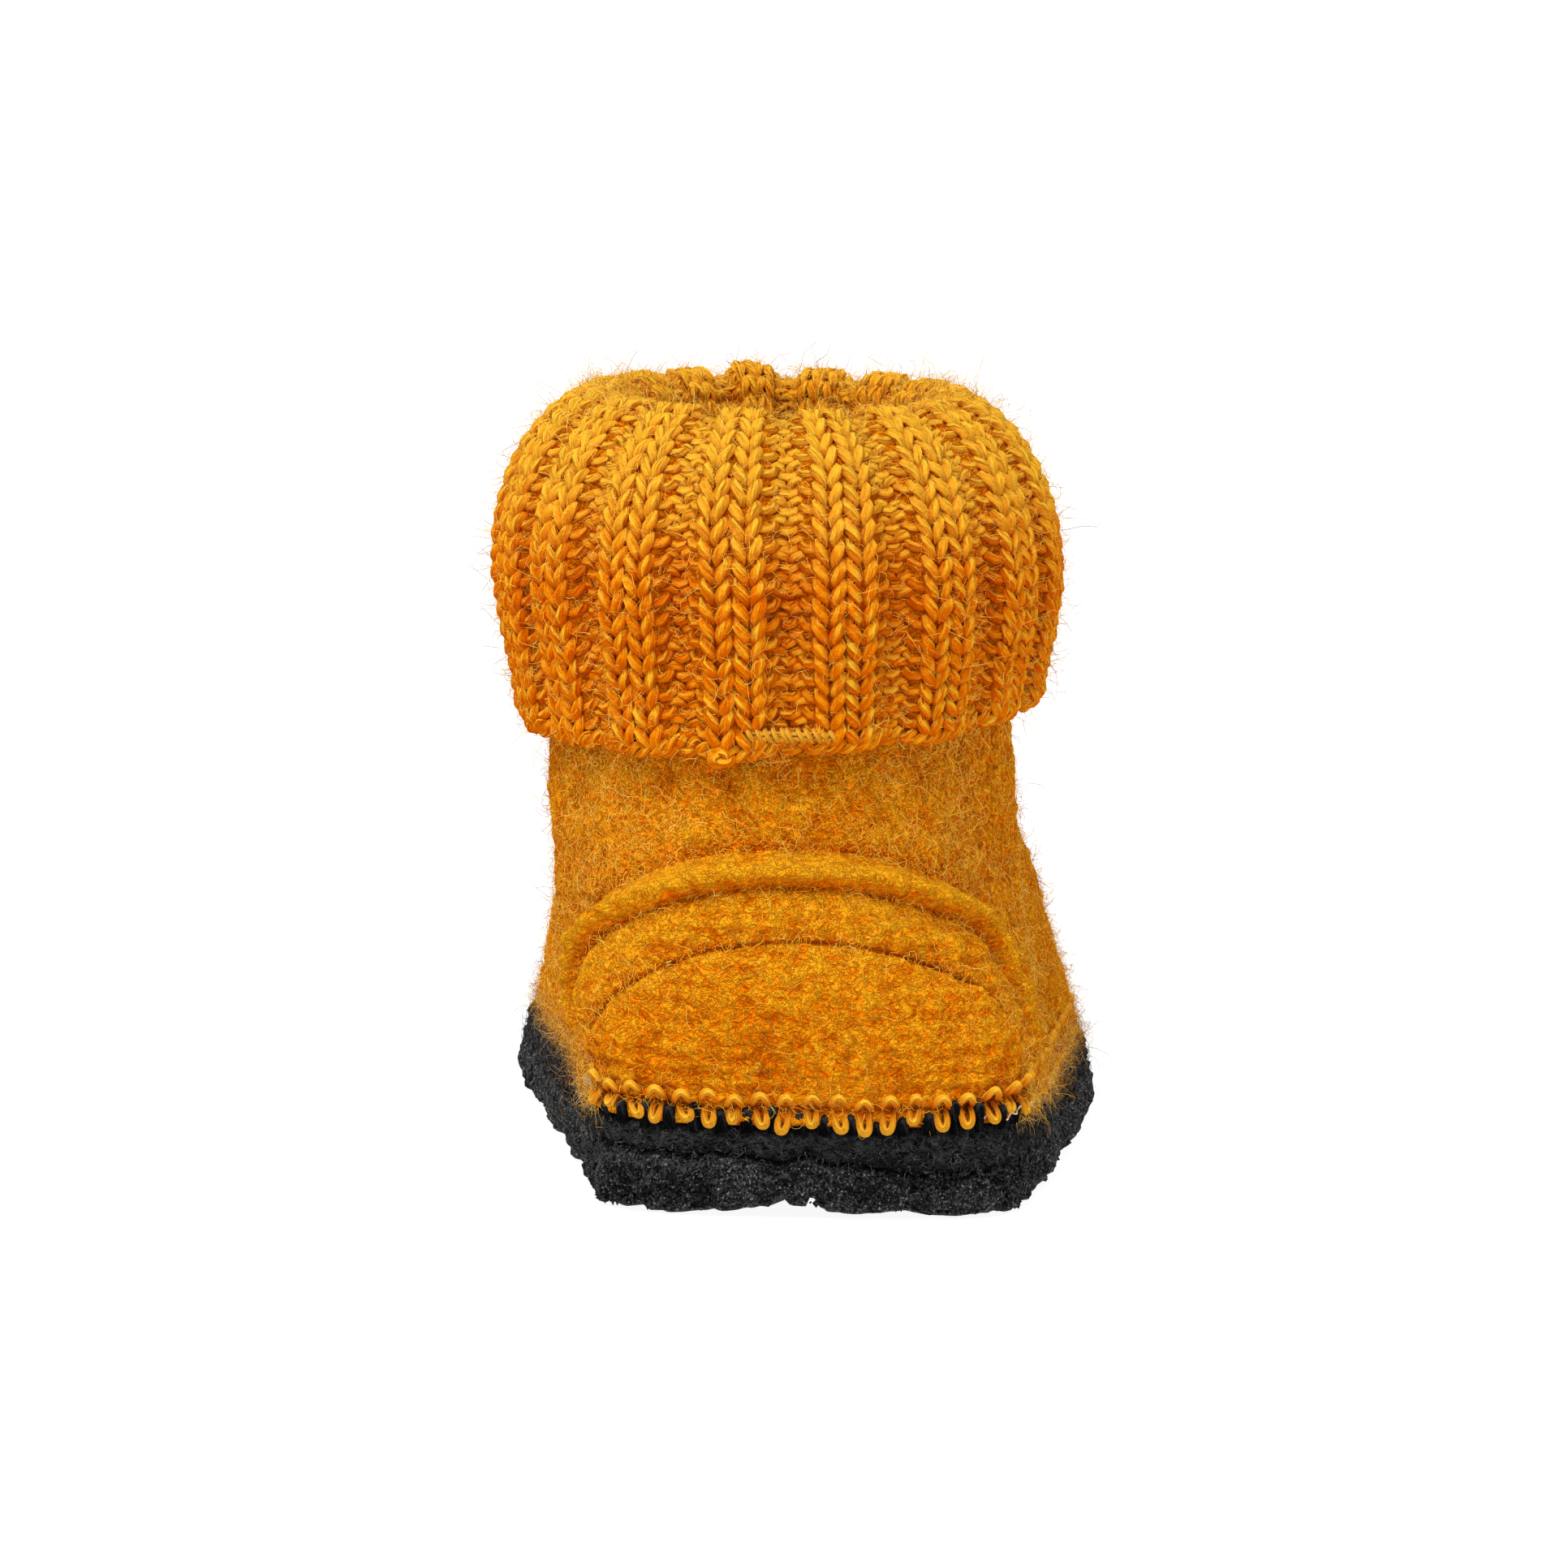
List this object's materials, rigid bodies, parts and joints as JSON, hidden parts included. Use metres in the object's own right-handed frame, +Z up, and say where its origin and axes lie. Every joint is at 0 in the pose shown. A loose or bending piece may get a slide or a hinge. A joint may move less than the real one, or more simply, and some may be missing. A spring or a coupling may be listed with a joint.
{
  "type": "wool slipper",
  "caption": "Child's boiled-wool slipper boot for the right foot, with a ribbed knit cuff turned down over the ankle, a sewn heel counter and a charcoal felt sole.",
  "frame": {"origin": "on the floor under the middle of the slipper's bounding box", "axes": "+Y from heel to toe, +X to the outer (lateral) side, +Z up"},
  "size_m": [0.0818, 0.1666, 0.1039],
  "materials": {
    "outsole": "rough charcoal felt with a crumbly latex skin",
    "rand_band": "felted charcoal knit",
    "insole": "flat grey felt",
    "upper": "fuzzy orange boiled wool",
    "heel_counter": "fuzzy orange boiled wool",
    "cuff": "orange ribbed wool knit"
  },
  "bodies": {
    "root": {"outsole": "outsole", "rand_band": "rand_band", "insole": "insole", "upper": "upper", "heel_counter": "heel_counter", "cuff": "cuff"}
  },
  "joints": []
}
